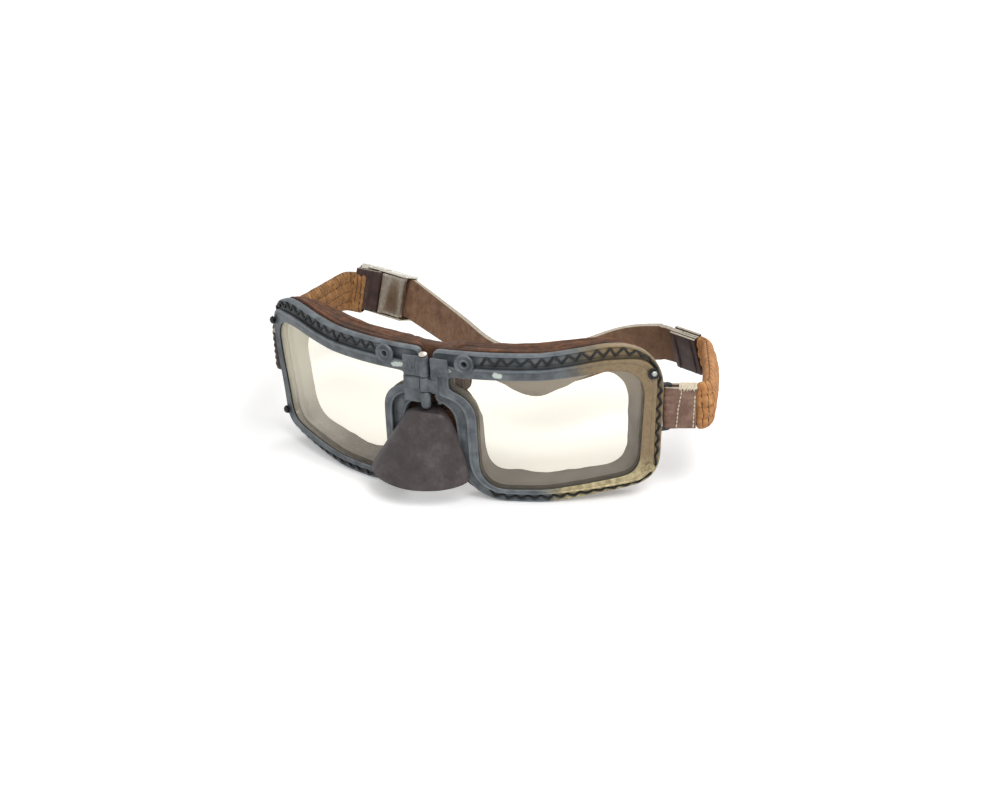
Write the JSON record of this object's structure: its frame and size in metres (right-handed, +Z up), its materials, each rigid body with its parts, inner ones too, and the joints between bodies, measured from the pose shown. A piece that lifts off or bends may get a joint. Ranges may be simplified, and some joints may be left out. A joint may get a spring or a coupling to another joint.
{
  "type": "flying goggles",
  "caption": "Flying goggles: curved lenses in hinged metal eyecups with suede face pads, sprung side bands and a rear strap with a lever buckle.",
  "frame": {"origin": "centre of the bounding box, on the flat surface the eyecups stand on", "axes": "+Z up; -Y the way the wearer looks; +X towards the wearer's left eyecup, on the right of the picture"},
  "size_m": [0.1948, 0.1294, 0.0624],
  "materials": {
    "painted_brass": "worn dark blue-grey paint, with brass showing through on the edges",
    "lens_glass": "clear, polished, very slightly cream",
    "nickel": "worn nickel plate",
    "spring_steel": "drawn wire",
    "black_cord": "waxed black lacing cord",
    "brown_suede": "napped brown suede over a soft filling",
    "tan_suede": "napped tan suede",
    "lining_cloth": "matt grey-mauve cloth",
    "dark_leather": "smooth, softly worn mauve-brown leather",
    "strap_leather": "smooth brown strap leather with pale cut edges"
  },
  "bodies": {
    "left_side": {"eye_frame_left": "painted_brass", "bezel_left": "painted_brass", "lens_left": "lens_glass", "face_pad_left": "brown_suede", "eyecup_lining_left": "lining_cloth", "lacing_left": "black_cord", "hinge_leaf_left": "painted_brass", "hinge_pin": "nickel", "bridge_eyelet_left": "painted_brass", "bridge_suede": "brown_suede", "nose_flap": "dark_leather", "top_screw_left": "nickel", "bottom_screw_left": "nickel", "strap_loop_left": "painted_brass", "spring_cover_outer_left": "tan_suede", "spring_cover_inner_left": "tan_suede", "band_spring_left_1": "spring_steel", "band_spring_left_2": "spring_steel", "band_spring_left_3": "spring_steel", "band_spring_left_4": "spring_steel", "rear_tab_left": "dark_leather", "rear_strap": "strap_leather"},
    "right_side": {"eye_frame_right": "painted_brass", "bezel_right": "painted_brass", "lens_right": "lens_glass", "face_pad_right": "brown_suede", "eyecup_lining_right": "lining_cloth", "lacing_right": "black_cord", "hinge_leaf_right": "painted_brass", "bridge_eyelet_right": "painted_brass", "top_screw_right": "nickel", "bottom_screw_right": "nickel", "strap_loop_right": "painted_brass", "spring_cover_outer_right": "tan_suede", "spring_cover_inner_right": "tan_suede", "band_spring_right_1": "spring_steel", "band_spring_right_2": "spring_steel", "band_spring_right_3": "spring_steel", "band_spring_right_4": "spring_steel", "rear_tab_right": "dark_leather", "buckle_frame": "nickel", "buckle_pin": "nickel"},
    "left_front_tab": {"front_tab_left": "dark_leather"},
    "right_front_tab": {"front_tab_right": "dark_leather"},
    "lever": {"buckle_lever": "nickel"},
    "keeper": {"strap_keeper": "nickel"}
  },
  "joints": [
    {"name": "bridge_hinge", "type": "hinge", "parent": "left_side", "child": "right_side", "pos_m": [-0.00074, -0.05233, 0.04], "axis": [0, 0, -1], "range_deg": [-8, 40], "deforming": ["rear_strap", "nose_flap", "bridge_suede", "spring_cover_outer_left", "spring_cover_inner_left", "band_spring_left_1", "band_spring_left_2", "band_spring_left_3", "band_spring_left_4", "spring_cover_outer_right", "spring_cover_inner_right", "band_spring_right_1", "band_spring_right_2", "band_spring_right_3", "band_spring_right_4"]},
    {"name": "left_front_tab_swing", "type": "hinge", "parent": "left_side", "child": "left_front_tab", "pos_m": [0.08222, -0.01883, 0.035], "axis": [0, 0, 1], "range_deg": [-20, 20]},
    {"name": "right_front_tab_swing", "type": "hinge", "parent": "right_side", "child": "right_front_tab", "pos_m": [-0.0837, -0.01883, 0.035], "axis": [0, 0, -1], "range_deg": [-20, 20]},
    {"name": "buckle_lever_swing", "type": "hinge", "parent": "right_side", "child": "lever", "pos_m": [-0.06303, 0.04866, 0.03438], "axis": [0.0955, 0.2939, 0.9511], "range_deg": [0, 100]},
    {"name": "keeper_slide", "type": "slide", "parent": "right_side", "child": "keeper", "axis": [-0.9511, 0.309, 0], "range_m": [-0.002, 0.0015]}
  ]
}
